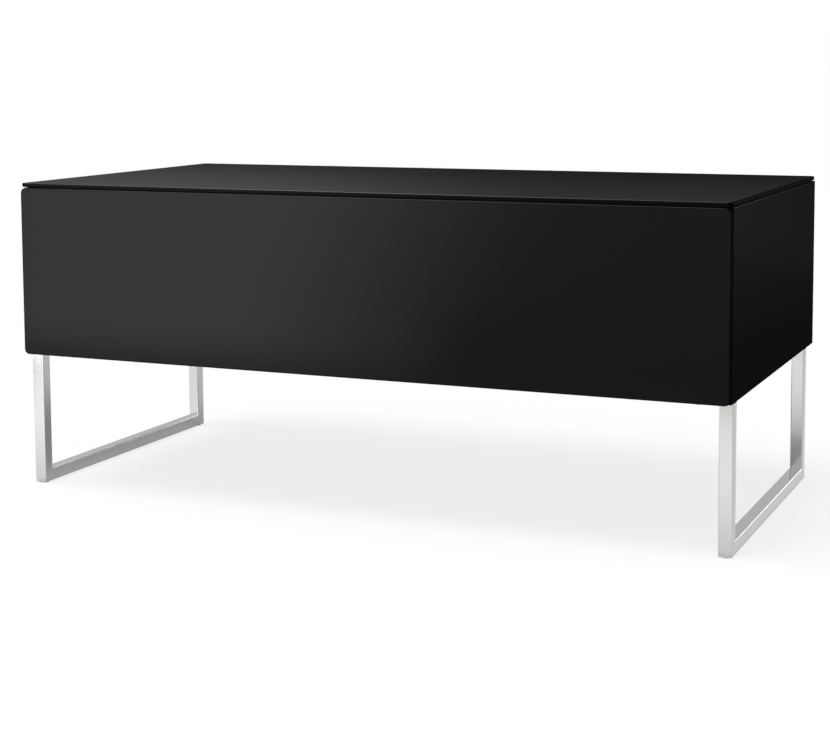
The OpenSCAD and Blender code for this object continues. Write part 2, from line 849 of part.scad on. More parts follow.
module flap_bracket() {
    base_x1 = in_x - ear_k;
    base_x0 = base_x1 - bracket_base_w;
    color(zinc) difference() {
        union() {
            block([base_x0, leaf_y1, bracket_pt[1] - bracket_base_l / 2],
                [base_x1, leaf_y1 + bracket_base_t, bracket_pt[1] + bracket_base_l / 2]);
            block([base_x1 - link_t, leaf_y1, bracket_pt[1] - eye_r],
                [base_x1, bracket_pt[0], bracket_pt[1] + eye_r]);
            link_round(ear_k, ear_k + link_t, bracket_pt, eye_r);
        }
        link_round(ear_k - cut, ear_k + link_t + cut, bracket_pt, rivet_r + fit);
        for (s = [-1, 1])
            bar_y(leaf_y1 - cut, leaf_y1 + bracket_base_t + cut,
                bracket_screw_x, bracket_pt[1] + s * bracket_screw_dz, bracket_screw_r + fit);
    }
}

module flap_bracket_right() {
    flap_bracket();
}

module flap_bracket_left() {
    mirror([1, 0, 0]) flap_bracket();
}

module bracket_pins() {
    color(zinc) both_sides() {
        link_round(rod_k - layer_gap, ear_k + link_t, bracket_pt, rivet_r);
        link_round(rod_k - layer_gap - rivet_head / 2, rod_k - layer_gap, bracket_pt, rivet_head_r);
        link_round(ear_k + link_t, ear_k + link_t + rivet_head, bracket_pt, rivet_head_r);
    }
}

module bracket_screws() {
    color(zinc) both_sides() for (s = [-1, 1])
        translate([bracket_screw_x, leaf_y1 + bracket_base_t, bracket_pt[1] + s * bracket_screw_dz])
            rotate([90, 0, 0]) flat_screw(bracket_screw_r, bracket_screw_l, back_head_r, small_head_h);
}

// Touch latch on the right, under the top panel
module latch_body() {
    half = latch_w / 2;
    color(plastic_black) difference() {
        union() {
            block([latch_x - half, latch_y0, bay_z1 - latch_h], [latch_x + half, latch_y0 + latch_l, bay_z1]);
            for (y = latch_ears)
                block([latch_x - half - latch_ear_out, latch_y0 + y - latch_ear_w / 2, bay_z1 - latch_ear_t],
                    [latch_x + half + latch_ear_out, latch_y0 + y + latch_ear_w / 2, bay_z1]);
        }
        bar_y(latch_y0 - cut, plunger_y1 + plunger_travel + cut, latch_x, latch_z, plunger_r + fit);
        for (y = latch_ears, s = [-1, 1])
            bar_z(bay_z1 - latch_ear_t - cut, bay_z1 + cut,
                latch_x + s * latch_ear_x, latch_y0 + y, latch_screw_r + fit);
    }
}

module latch_body_right() {
    latch_body();
}

module latch_body_left() {
    mirror([1, 0, 0]) latch_body();
}

module latch_plunger() {
    color(clear_grey) {
        bar_y(plunger_y0 + plunger_nose, plunger_y1, latch_x, latch_z, plunger_r);
        bar_y(plunger_y0, plunger_y0 + plunger_nose, latch_x, latch_z, plunger_r - plunger_nose);
    }
}

module latch_plunger_right() {
    latch_plunger();
}

module latch_plunger_left() {
    mirror([1, 0, 0]) latch_plunger();
}

module latch_screws() {
    color(zinc) both_sides() for (y = latch_ears, s = [-1, 1])
        translate([latch_x + s * latch_ear_x, latch_y0 + y, bay_z1 - latch_ear_t])
            flat_screw(latch_screw_r, latch_screw_l, latch_head_r, small_head_h);
}

module strike_plates() {
    color(zinc) both_sides() difference() {
        block([latch_x - strike_w / 2, leaf_y1, latch_z - strike_h / 2],
            [latch_x + strike_w / 2, leaf_y1 + strike_t, latch_z + strike_h / 2]);
        for (s = [-1, 1])
            translate([latch_x + s * strike_screw_x, leaf_y1 + strike_t, latch_z]) rotate([90, 0, 0])
                sunk_hole(latch_screw_r, strike_t, latch_head_r, strike_t);
    }
}

module strike_screws() {
    color(zinc) both_sides() for (s = [-1, 1])
        translate([latch_x + s * strike_screw_x, leaf_y1 + strike_t, latch_z]) rotate([90, 0, 0])
            sunk_screw(latch_screw_r, strike_screw_l, latch_head_r, strike_t);
}

// Cam fittings and dowels at the ends of the top and bottom panels
module cam_locks() {
    color(zinc) both_sides() for (y = cam_ys, i = [0, 1]) {
        z0 = i == 0 ? box_z0 : box_z1 - cam_h;
        face_z = i == 0 ? box_z0 : box_z1;
        difference() {
            bar_z(z0, z0 + cam_h, cam_x, y, cam_r);
            bar_x(cam_x - fit, cam_x + cam_r + cut, y, board_mid_zs[i], cam_bolt_r + fit);
            for (slot = [[cam_slot_l, cam_slot_w] / 2, [cam_slot_w, cam_slot_l] / 2])
                block([cam_x - slot.x, y - slot.y, face_z - cam_slot_t],
                    [cam_x + slot.x, y + slot.y, face_z + cam_slot_t]);
        }
    }
}

module cam_bolts() {
    color(zinc) both_sides() for (y = cam_ys, z = board_mid_zs)
        bar_x(cam_x, in_x + side_bite, y, z, cam_bolt_r);
}

module dowels() {
    color(beech) both_sides() for (y = dowel_ys, z = board_mid_zs)
        bar_x(in_x + side_bite - dowel_l, in_x + side_bite, y, z, dowel_r);
}

// Hole for a partition screw that enters at the origin and runs along +Z
module partition_screw_hole() {
    translate([0, 0, -cut]) cylinder(h = cut + part_head_h, r = part_head_r + fit);
    cylinder(h = part_screw_l + hole_end, r = part_screw_r + fit);
}

module partition_screw() {
    translate([0, 0, part_head_h])
        flat_screw(part_screw_r, part_screw_l - part_head_h, part_head_r, part_head_h);
}

module partition_screws() {
    color(zinc) for (y = part_screw_ys) {
        translate([0, y, box_z0]) partition_screw();
        translate([0, y, box_z1]) mirror([0, 0, 1]) partition_screw();
    }
}

// Leg frame on the right: a welded U of hollow square tube, open at its two ends under the box,
// with a fixing plate welded to the inner side of each post
module leg_frame() {
    x1 = rack_w / 2;
    w = tube_wall;
    color(steel) difference() {
        union() {
            block([leg_x0, leg_y0, glide_h], [x1, leg_y1, glide_h + tube_w]);
            block([leg_x0, leg_y0, glide_h], [x1, leg_y0 + tube_w, box_z0]);
            block([leg_x0, leg_y1 - tube_w, glide_h], [x1, leg_y1, box_z0]);
            for (y = plate_ys)
                block([plate_x0, y, box_z0 - plate_t], [leg_x0 + w / 2, y + plate_w, box_z0]);
        }
        block([leg_x0 + w, leg_y0 + w, glide_h + w], [x1 - w, leg_y1 - w, glide_h + tube_w - w]);
        block([leg_x0 + w, leg_y0 + w, glide_h + w], [x1 - w, leg_y0 + tube_w - w, box_z0 + cut]);
        block([leg_x0 + w, leg_y1 - tube_w + w, glide_h + w], [x1 - w, leg_y1 - w, box_z0 + cut]);
        for (y = plate_ys, s = [-1, 1])
            bar_z(box_z0 - plate_t - cut, box_z0 + cut,
                leg_bolt_x, y + plate_w / 2 + s * leg_bolt_dy, leg_bolt_r + fit);
    }
}

module leg_frame_right() {
    leg_frame();
}

module leg_frame_left() {
    mirror([1, 0, 0]) leg_frame();
}

module leg_bolts() {
    color(zinc) both_sides() for (y = plate_ys, s = [-1, 1])
        translate([leg_bolt_x, y + plate_w / 2 + s * leg_bolt_dy, box_z0 - plate_t])
            flat_screw(leg_bolt_r, plate_t + insert_l, leg_head_r, leg_head_h);
}

module leg_inserts() {
    color(zinc) both_sides() for (y = plate_ys, s = [-1, 1]) {
        bolt_y = y + plate_w / 2 + s * leg_bolt_dy;
        difference() {
            bar_z(box_z0, box_z0 + insert_l, leg_bolt_x, bolt_y, insert_r);
            bar_z(box_z0 - cut, box_z0 + insert_l + cut, leg_bolt_x, bolt_y, leg_bolt_r + fit);
        }
    }
}

module floor_glides() {
    color(felt_grey) both_sides() for (y = [leg_y0 + tube_w / 2, leg_y1 - tube_w / 2])
        bar_z(0, glide_h, leg_x0 + tube_w / 2, y, glide_r);
}

top_glass();
glass_pads();
top_panel();
bottom_panel();
side_panel_left();
side_panel_right();
centre_partition();
back_panel_left();
back_panel_right();
cable_grommets();
shelf_left();
shelf_right();
shelf_pins();
flap_glass();
flap_board();
hinge_leaves_fixed();
hinge_leaves_flap();
hinge_pins();
damper_housing_left();
damper_housing_right();
damper_lever_left();
damper_lever_right();
damper_axle_left();
damper_axle_right();
rod_rivet_left();
rod_rivet_right();
damper_rod_left();
damper_rod_right();
flap_bracket_left();
flap_bracket_right();
bracket_pins();
latch_body_left();
latch_body_right();
latch_plunger_left();
latch_plunger_right();
strike_plates();
flap_bumpers();
leg_frame_left();
leg_frame_right();
leg_bolts();
leg_inserts();
floor_glides();
cam_locks();
cam_bolts();
dowels();
partition_screws();
back_screws();
hinge_screws_fixed();
hinge_screws_flap();
damper_screws();
bracket_screws();
latch_screws();
strike_screws();
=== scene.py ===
import json
import math
import bpy
import bmesh
from mathutils import Matrix, Vector

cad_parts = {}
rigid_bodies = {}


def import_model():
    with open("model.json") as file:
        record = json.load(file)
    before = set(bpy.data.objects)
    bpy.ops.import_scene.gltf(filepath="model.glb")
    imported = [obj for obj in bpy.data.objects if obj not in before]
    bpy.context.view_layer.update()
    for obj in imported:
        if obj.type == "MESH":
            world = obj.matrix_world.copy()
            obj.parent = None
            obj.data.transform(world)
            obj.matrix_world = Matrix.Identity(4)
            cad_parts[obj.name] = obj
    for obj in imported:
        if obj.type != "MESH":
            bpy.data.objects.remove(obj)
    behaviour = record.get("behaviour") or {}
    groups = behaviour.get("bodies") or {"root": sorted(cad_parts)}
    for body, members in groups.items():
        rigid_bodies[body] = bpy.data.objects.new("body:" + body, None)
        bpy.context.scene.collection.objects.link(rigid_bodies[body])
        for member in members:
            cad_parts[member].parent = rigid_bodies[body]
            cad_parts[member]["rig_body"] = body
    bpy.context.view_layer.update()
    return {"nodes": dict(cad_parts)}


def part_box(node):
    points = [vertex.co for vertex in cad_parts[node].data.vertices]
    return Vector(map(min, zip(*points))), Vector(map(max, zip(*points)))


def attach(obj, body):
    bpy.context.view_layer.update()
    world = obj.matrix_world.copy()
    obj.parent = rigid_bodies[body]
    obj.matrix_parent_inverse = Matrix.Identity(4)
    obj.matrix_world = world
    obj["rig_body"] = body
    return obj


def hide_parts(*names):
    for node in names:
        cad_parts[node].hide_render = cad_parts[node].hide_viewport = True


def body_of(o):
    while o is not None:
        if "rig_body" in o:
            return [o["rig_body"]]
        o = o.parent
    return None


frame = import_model()
nodes = frame["nodes"]

MM = 0.001

# Glass sheets: the radius of their corners and the width of their ground edges
GLASS_CORNER = 8 * MM
TOP_ARRIS = 1.2 * MM
FLAP_PENCIL_EDGE = 1.6 * MM

# Leg frames: tube, fixing plates and weld beads
TUBE = 19 * MM
TUBE_CORNER = 1.5 * MM
MITRE_GROOVE = 0.2 * MM
PLATE_T = 3 * MM
PLATE_CORNER = 4 * MM
PLATE_EDGE = 0.3 * MM
WELD_R = 1.6 * MM
WELD_STEP = 1.5 * MM
WELD_SWELL = 1.18

# How far the edges of the other pieces are rounded, and the rims of screw and bolt heads
SIDE_EDGE = 0.9 * MM
BOARD_EDGE = 0.4 * MM
SHEET_METAL_EDGE = 0.15 * MM
ARM_EDGE = 0.3 * MM
HOUSING_EDGE = 0.9 * MM
LATCH_EDGE = 0.5 * MM
SOFT_EDGE = 0.8 * MM
SMALL_EDGE = 0.4 * MM
SCREW_EDGE = 0.15 * MM
BOLT_EDGE = 0.2 * MM
SCREW_DOME = 1.2 * MM
BOLT_DOME = 1.8 * MM

# What counts as one point, as one level and as a facet of a round rim
SAME_POINT = 0.002 * MM
SAME_LEVEL = 0.01 * MM
RIM_FACET = 0.9 * MM

# In degrees: what counts as one plane, as a sharp edge and as a very sharp one
SAME_PLANE = 1
SHARP = 35
VERY_SHARP = 60

# How far a face or an edge points along an axis, from 0 to 1
ALIGNED = 0.999
GLASS_FACE = 0.99
INNER_FACE = 0.9
OFF_THE_CUT = 0.9

# The same upwards, on the glass's upper arris and on a side's rounded upper edges, which get glossier
# finishes as painted highlights
ARRIS_LOW, ARRIS_HIGH = 0.2, 0.98
UPPER_EDGE_LOW, UPPER_EDGE_HIGH = 0.3, 0.95

# Nearly all of a noise lies between these
NOISE_LOW, NOISE_HIGH = 0.3, 0.7

# The photograph's frame, in pixels, and its camera
PHOTO_W = 830
FOCAL_PX = 1731.4
YAW, PITCH, ROLL = 23.76, 5.31, -0.32
CAMERA_AT = (1.0651, -2.4477, 0.6489)
CAMERA_SHIFT = -0.18
CAMERA_REACH = 100
SENSOR_W = 36

# Studio light, with the sun's angles in degrees. What glows with a strength of 1 shows as white.
WHITE = "#ffffff"
AMBIENT = 0.5
SUN_POWER = 2.2
SUN_FROM_LEFT = 12
SUN_FROM_FRONT = 9
SUN_SPREAD = 32
FLOOR_SIZE = 60
FLOOR_PAINT = "#cacaca"
FLOOR_WHITE = 1.13
FLOOR_GLOW = 0.7
FLOOR_GLOW_REFLECTED = 0.22


def linear(hex_colour):
    """An sRGB hex value as a linear colour."""
    channels = [int(hex_colour[i:i + 2], 16) / 255 for i in (1, 3, 5)]
    return [c / 12.92 if c <= 0.04045 else ((c + 0.055) / 1.055) ** 2.4 for c in channels] + [1.0]


def per_metre(size_mm):
    """Scale of a texture whose features are that many millimetres wide."""
    return 1000 / size_mm


def add(tree, kind, values=None, **settings):
    """Adds a node. Settings are its properties.
    Each value is a number or a colour, or the output that feeds it."""
    made = tree.nodes.new(kind)
    for name, value in settings.items():
        setattr(made, name, value)
    for key, value in (values or {}).items():
        if isinstance(value, bpy.types.NodeSocket):
            tree.links.new(value, made.inputs[key])
        else:
            made.inputs[key].default_value = value
    return made


def start_material(name, colour, sockets):
    """A material with one Principled shader, and the object coordinates that its patterns read."""
    mat = bpy.data.materials.new(name)
    mat.use_nodes = True
    shader = mat.node_tree.nodes["Principled BSDF"]
    shader.inputs["Base Color"].default_value = linear(colour)
    for socket, value in sockets.items():
        shader.inputs[socket].default_value = value
    mat.diffuse_color = linear(colour)
    place = add(mat.node_tree, "ShaderNodeTexCoord").outputs["Object"]
    return mat, mat.node_tree, shader, place


def coat_alone(weight, roughness):
    """Sockets of a black finish that shines by its coat alone, so that the coat's weight sets how much."""
    return {"Specular IOR Level": 0.0, "Coat Weight": weight, "Coat Roughness": roughness, "Coat IOR": 1.5}


def stretched(tree, place, scale):
    """Coordinates scaled along each axis, for a grain that runs one way."""
    return add(tree, "ShaderNodeMapping", {"Vector": place, "Scale": scale}).outputs["Vector"]


def relief(tree, shader, height, depth):
    """Lets a height pattern, from 0 to 1, rise by that depth in metres."""
    bump = add(tree, "ShaderNodeBump", {"Height": height, "Distance": depth, "Strength": 1.0})
    tree.links.new(bump.outputs["Normal"], shader.inputs["Normal"])


def vary(tree, pattern, low, high, target):
    """Lets a noise move a shader's number between low and high."""
    span = add(tree, "ShaderNodeMapRange",
               {"Value": pattern, "From Min": NOISE_LOW, "From Max": NOISE_HIGH,
                "To Min": low, "To Max": high})
    tree.links.new(span.outputs["Result"], target)


def tint(tree, pattern, dark, light, target):
    """Lets a noise move a shader's colour between two sRGB colours."""
    ramp = add(tree, "ShaderNodeValToRGB", {"Fac": pattern})
    first, last = ramp.color_ramp.elements
    first.position, last.position = NOISE_LOW, NOISE_HIGH
    first.color = linear(dark)
    last.color = linear(light)
    tree.links.new(ramp.outputs["Color"], target)


def noise(tree, place, size_mm, detail=2.0):
    """A noise whose lumps are that many millimetres wide."""
    made = add(tree, "ShaderNodeTexNoise", {"Vector": place, "Scale": per_metre(size_mm), "Detail": detail})
    return made.outputs["Fac"]


def etched_glass():
    """Black back-painted glass, acid-etched: a soft even sheen that brightens where the light grazes it."""
    mat, tree, shader, place = start_material("etched_black_glass", "#0b0a0d", coat_alone(0.12, 0.25))
    vary(tree, noise(tree, place, 140), 0.44, 0.52, shader.inputs["Roughness"])
    # The etch is about 0.05 mm fine, and is drawn at 0.8 mm so that it shows
    relief(tree, shader, noise(tree, place, 0.8, 4.0), 0.012 * MM)
    return mat


def glass_rim(name, sheen):
    """The cut rim of the glass: nearly black to the eye, because the paint behind lets no light into it."""
    mat, tree, shader, place = start_material(name, "#050505", coat_alone(sheen, 0.3))
    vary(tree, noise(tree, place, 6), 0.42, 0.58, shader.inputs["Roughness"])
    relief(tree, shader, noise(tree, stretched(tree, place, (1, 1, 6)), 1.2), 0.01 * MM)
    return mat


def ground_arris_painted_highlight():
    """The upper arris of the glass, ground with a fine wheel. Its stronger gloss is partly real, but its
    colour, paler than the rest of the cut edge, is a painted highlight that draws a thin light line.
    """
    mat, tree, shader, place = start_material("ground_glass_arris_painted_highlight", "#121315", coat_alone(0.6, 0.3))
    grind = noise(tree, place, 1.5, 3.0)
    tint(tree, grind, "#101113", "#16171a", shader.inputs["Base Color"])
    relief(tree, shader, grind, 0.004 * MM)
    return mat


def satin_lacquer(name, sheen):
    """Sprayed black lacquer on board: satin, with the faint orange peel of a spray gun."""
    mat, tree, shader, place = start_material(name, "#0c0c0e", coat_alone(sheen, 0.24))
    vary(tree, noise(tree, place, 60), 0.45, 0.55, shader.inputs["Roughness"])
    relief(tree, shader, noise(tree, place, 2.5, 1.0), 0.01 * MM)
    return mat


def melamine():
    """Black melamine-faced board: dull, with a pressed pearl grain of about a millimetre."""
    mat, tree, shader, place = start_material(
        "pearl_black_melamine", "#1b1b1d", {"Roughness": 0.6, "Specular IOR Level": 0.25})
    pearl = noise(tree, place, 1.1, 3.0)
    tint(tree, pearl, "#171718", "#1f1f21", shader.inputs["Base Color"])
    vary(tree, noise(tree, place, 45), 0.52, 0.66, shader.inputs["Roughness"])
    relief(tree, shader, pearl, 0.03 * MM)
    return mat


def satin_steel(name, along):
    """Satin stainless tube: fine grinding lines that run along it and spread its highlights."""
    mat, tree, shader, place = start_material(name, "#c6c6c5", {"Metallic": 1.0, "Roughness": 0.17})
    # Grit 400 lines are about 0.04 mm apart, and are drawn at 0.35 mm so that they show
    squeeze = [0.01 if axis == along else 1.0 for axis in "XYZ"]
    lines = noise(tree, stretched(tree, place, squeeze), 0.35, 3.0)
    tint(tree, lines, "#c4c4c3", "#c8c8c7", shader.inputs["Base Color"])
    vary(tree, lines, 0.15, 0.19, shader.inputs["Roughness"])
    relief(tree, shader, lines, 0.001 * MM)
    return mat


def zinc_plate():
    """Zinc-plated steel: a cool grey metal with a cloudy, slightly uneven passivated skin."""
    mat, tree, shader, place = start_material(
        "zinc_plated_steel", "#b4b7ba", {"Metallic": 1.0, "Roughness": 0.34})
    cloud = noise(tree, place, 5, 3.0)
    tint(tree, cloud, "#a3a7ad", "#c2c3c1", shader.inputs["Base Color"])
    vary(tree, cloud, 0.28, 0.42, shader.inputs["Roughness"])
    relief(tree, shader, noise(tree, place, 0.6), 0.004 * MM)
    return mat


def black_nylon():
    """Black moulded nylon: spark-eroded grain from its tool, which dulls the gloss."""
    mat, tree, shader, place = start_material(
        "moulded_black_nylon", "#28282a", {"Roughness": 0.5, "Specular IOR Level": 0.35})
    grain = noise(tree, place, 0.7, 3.0)
    tint(tree, noise(tree, place, 20), "#252527", "#2c2c2e", shader.inputs["Base Color"])
    vary(tree, grain, 0.42, 0.6, shader.inputs["Roughness"])
    relief(tree, shader, grain, 0.02 * MM)
    return mat


def pale_acetal():
    """Natural acetal plungers: milky white, smooth from the mould and a little translucent."""
    mat, tree, shader, place = start_material(
        "natural_acetal", "#dcdad2",
        {"Roughness": 0.35, "Subsurface Weight": 0.15, "Subsurface Scale": 2 * MM})
    tint(tree, noise(tree, place, 8), "#d6d3c9", "#e2e1da", shader.inputs["Base Color"])
    relief(tree, shader, noise(tree, place, 1.5), 0.006 * MM)
    return mat


def clear_silicone():
    """Clear silicone pads: soft-edged, slightly cloudy and see-through."""
    mat, tree, shader, place = start_material(
        "clear_silicone", "#dfe5e6", {"Roughness": 0.25, "IOR": 1.41, "Transmission Weight": 0.8})
    vary(tree, noise(tree, place, 3), 0.2, 0.35, shader.inputs["Roughness"])
    relief(tree, shader, noise(tree, place, 1.5), 0.01 * MM)
    return mat


def grey_nylon():
    """Grey nylon glides: dull, scuffed by the floor."""
    mat, tree, shader, place = start_material("grey_nylon", "#6f7072", {"Roughness": 0.55})
    scuff = noise(tree, place, 1.4, 4.0)
    tint(tree, scuff, "#5f6062", "#7d7e80", shader.inputs["Base Color"])
    relief(tree, shader, scuff, 0.03 * MM)
    return mat


def beech():
    """Beech dowels: pinkish-brown wood with short dark flecks along the grain."""
    mat, tree, shader, place = start_material(
        "beech", "#c79f6c", {"Roughness": 0.6, "Specular IOR Level": 0.3})
    flecks = noise(tree, stretched(tree, place, (0.12, 1, 1)), 0.9, 3.0)
    tint(tree, flecks, "#b2875a", "#d6b283", shader.inputs["Base Color"])
    relief(tree, shader, flecks, 0.03 * MM)
    return mat


GLASS = etched_glass()
GLASS_RIM = glass_rim("cut_glass_rim", 0.035)
# The same rim with a weaker coat, for the faces that look sideways: painted shade that keeps those edges
# darker
GLASS_RIM_SIDE_PAINTED_SHADE = glass_rim("cut_glass_rim_side_painted_shade", 0.013)
# The upper arris, paler and glossier than the rest of the edge: a painted highlight
GLASS_ARRIS_PAINTED_HIGHLIGHT = ground_arris_painted_highlight()
LACQUER = satin_lacquer("satin_black_lacquer", 0.012)
# The same lacquer, far glossier, for the sides' rounded upper edges: a painted sheen that draws a light line
LACQUER_EDGE_PAINTED_SHEEN = satin_lacquer("satin_black_lacquer_painted_edge_sheen", 0.2)
MELAMINE = melamine()
STEEL_UPRIGHT = satin_steel("satin_steel_upright", "Z")
STEEL_LYING = satin_steel("satin_steel_lying", "Y")
ZINC = zinc_plate()
BLACK_NYLON = black_nylon()
ACETAL = pale_acetal()
SILICONE = clear_silicone()
GREY_NYLON = grey_nylon()
BEECH = beech()


def choose(obj):
    """Makes obj the one selected and active object."""
    bpy.ops.object.select_all(action="DESELECT")
    obj.select_set(True)
    bpy.context.view_layer.objects.active = obj


def edit(obj, kind, test=lambda item: True):
    """Goes into edit mode with just those edges or faces of obj selected that pass the test."""
    choose(obj)
    bpy.ops.object.mode_set(mode="EDIT")
    bpy.ops.mesh.select_mode(type=kind)
    bpy.ops.mesh.select_all(action="DESELECT")
    mesh = bmesh.from_edit_mesh(obj.data)
    for item in {"EDGE": mesh.edges, "FACE": mesh.faces}[kind]:
        item.select = bool(test(item))
    mesh.select_flush_mode()
    bmesh.update_edit_mesh(obj.data)


def leave():
    """Goes back to object mode."""
    bpy.ops.object.mode_set(mode="OBJECT")


def modify(obj, kind, **settings):
    """Adds a modifier with its settings and applies it."""
    choose(obj)
    made = obj.modifiers.new(kind, kind)
    for name, value in settings.items():
        setattr(made, name, value)
    bpy.ops.object.modifier_apply(modifier=made.name)


def shade(obj, angle=SHARP):
    """Shades smooth across every edge up to that angle."""
    choose(obj)
    bpy.ops.object.shade_smooth_by_angle(angle=math.radians(angle))


def shade_flat_faces(obj, angle=SHARP):
    """Shades smooth up to that angle, and keeps flat faces flat up to their rounded edges."""
    shade(obj, angle)
    modify(obj, "WEIGHTED_NORMAL", keep_sharp=True)


def block(name, low, high):
    """A box from its lowest to its highest corner, to shape further."""
    bpy.ops.object.select_all(action="DESELECT")
    size = Vector(high) - Vector(low)
    bpy.ops.mesh.primitive_cube_add(size=1, location=(Vector(high) + Vector(low)) / 2)
    made = bpy.context.object
    made.name = made.data.name = name
    bpy.ops.transform.resize(value=size)
    bpy.ops.object.transform_apply(location=True, rotation=True, scale=True)
    return made


def runs_along(edge, axis):
    """True if an edge runs along that axis, 0 to 2."""
    way = (edge.verts[1].co - edge.verts[0].co).normalized()
    return abs(way[axis]) > ALIGNED


def round_edges(obj, width, segments=3, angle=SHARP):
    """Rounds every edge sharper than the angle, and shades the flat faces flat."""
    modify(obj, "BEVEL", width=width, segments=segments, limit_method="ANGLE",
           angle_limit=math.radians(angle))
    shade_flat_faces(obj, angle)


def dress(obj, *materials):
    """Gives a piece its materials, the first one all over."""
    obj.data.materials.clear()
    for material in materials:
        obj.data.materials.append(material)


def stand_for(obj, node):
    """Lets a piece replace a node of the frame, which is hidden, and ride with it."""
    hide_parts(node)
    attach(obj, body_of(nodes[node])[0])


def refined(node, material, width, segments=2, dome=None):
    """A copy of a node with its loose triangles merged into faces and its edges rounded."""
    obj = nodes[node].copy()
    obj.data = nodes[node].data.copy()
    obj.name = obj.data.name = node + "_finished"
    obj.parent = None
    bpy.context.scene.collection.objects.link(obj)
    edit(obj, "FACE")
    bpy.ops.mesh.remove_doubles(threshold=SAME_POINT)
    bpy.ops.mesh.dissolve_limited(angle_limit=math.radians(SAME_PLANE), use_dissolve_boundaries=False)
    leave()
    if dome:
        dome(obj)
    round_edges(obj, width, segments)
    dress(obj, material)
    stand_for(obj, node)
    return obj


def glass_sheet(node, thin_axis, edge, side_turn):
    """A sheet of glass with round corners and ground edges: etched faces, a dark rim, and a glossier, paler
    upper arris that paints a highlight.
    Faces that point further to the left or right than side_turn get a less glossy copy of the rim, a painted
    shade that keeps the side edges darker."""
    low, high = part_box(node)
    obj = block(node + "_finished", low, high)
    edit(obj, "EDGE", lambda e: runs_along(e, thin_axis))
    bpy.ops.mesh.bevel(offset=GLASS_CORNER, segments=12, affect="EDGES")
    leave()
    round_edges(obj, edge, segments=4, angle=VERY_SHARP)
    dress(obj, GLASS, GLASS_RIM, GLASS_ARRIS_PAINTED_HIGHLIGHT, GLASS_RIM_SIDE_PAINTED_SHADE)
    for face in obj.data.polygons:
        if abs(face.normal[thin_axis]) < GLASS_FACE:
            # Arris faces that point up get the paler finish, a painted highlight
            face.material_index = 2 if ARRIS_LOW < face.normal.z < ARRIS_HIGH else 1
        # Rims that face sideways get the less glossy copy: painted shade
        if abs(face.normal.x) > side_turn:
            face.material_index = 3
    stand_for(obj, node)


def side_panel(node):
    """A side board: lacquered outside, with a far glossier copy of the lacquer on its rounded upper edges as
    a painted sheen, and melamine-faced inside.
    """
    obj = refined(node, LACQUER, SIDE_EDGE)
    obj.data.materials.append(LACQUER_EDGE_PAINTED_SHEEN)
    obj.data.materials.append(MELAMINE)
    outwards = 1 if obj.data.vertices[0].co.x > 0 else -1
    for face in obj.data.polygons:
        # Rounded upper edges take the glossier lacquer: a painted sheen
        if UPPER_EDGE_LOW < face.normal.z < UPPER_EDGE_HIGH:
            face.material_index = 1
        if outwards * face.normal.x < -INNER_FACE:
            face.material_index = 2


def tube_bar(name, low, high, axis, mitres):
    """A length of square tube with round corners, cut at mitre planes, each a point and the normal kept."""
    obj = block(name, low, high)
    edit(obj, "EDGE", lambda e: runs_along(e, axis))
    bpy.ops.mesh.bevel(offset=TUBE_CORNER, segments=4, affect="EDGES")
    for point, normal in mitres:
        bpy.ops.mesh.select_all(action="SELECT")
        bpy.ops.mesh.bisect(plane_co=point, plane_no=normal, use_fill=True, clear_inner=True)
    leave()
    cuts = [Vector(normal) for point, normal in mitres]
    edit(obj, "EDGE", lambda e: any(abs(f.normal.dot(n)) > ALIGNED for f in e.link_faces for n in cuts)
         and any(abs(f.normal.dot(n)) < OFF_THE_CUT for f in e.link_faces for n in cuts))
    bpy.ops.mesh.bevel(offset=MITRE_GROOVE, segments=1, affect="EDGES")
    leave()
    shade_flat_faces(obj)
    return obj


def weld_bead(name, start, end):
    """A rippled weld bead from start to end along Y."""
    bpy.ops.object.select_all(action="DESELECT")
    bpy.ops.mesh.primitive_circle_add(vertices=10, radius=WELD_R, fill_type="NGON", location=start,
                                      rotation=(math.pi / 2, 0, 0))
    obj = bpy.context.object
    obj.name = obj.data.name = name
    bpy.ops.object.transform_apply(location=True, rotation=True, scale=True)
    edit(obj, "FACE")
    length = end[1] - start[1]
    steps = int(length / WELD_STEP)
    for i in range(steps):
        bpy.ops.mesh.extrude_region_move(TRANSFORM_OT_translate={"value": (0, length / steps, 0)})
        grow = WELD_SWELL if i % 2 == 0 else 1 / WELD_SWELL
        bpy.ops.transform.resize(value=(grow, 1, grow))
    bpy.ops.mesh.select_all(action="SELECT")
    bpy.ops.mesh.normals_make_consistent(inside=False)
    leave()
    shade(obj, VERY_SHARP)
    return obj


def join(name, parts):
    """Joins parts, which keep their materials, into one object."""
    bpy.ops.object.select_all(action="DESELECT")
    for part in parts:
        part.select_set(True)
    bpy.context.view_layer.objects.active = parts[0]
    bpy.ops.object.join()
    parts[0].name = parts[0].data.name = name
    return parts[0]


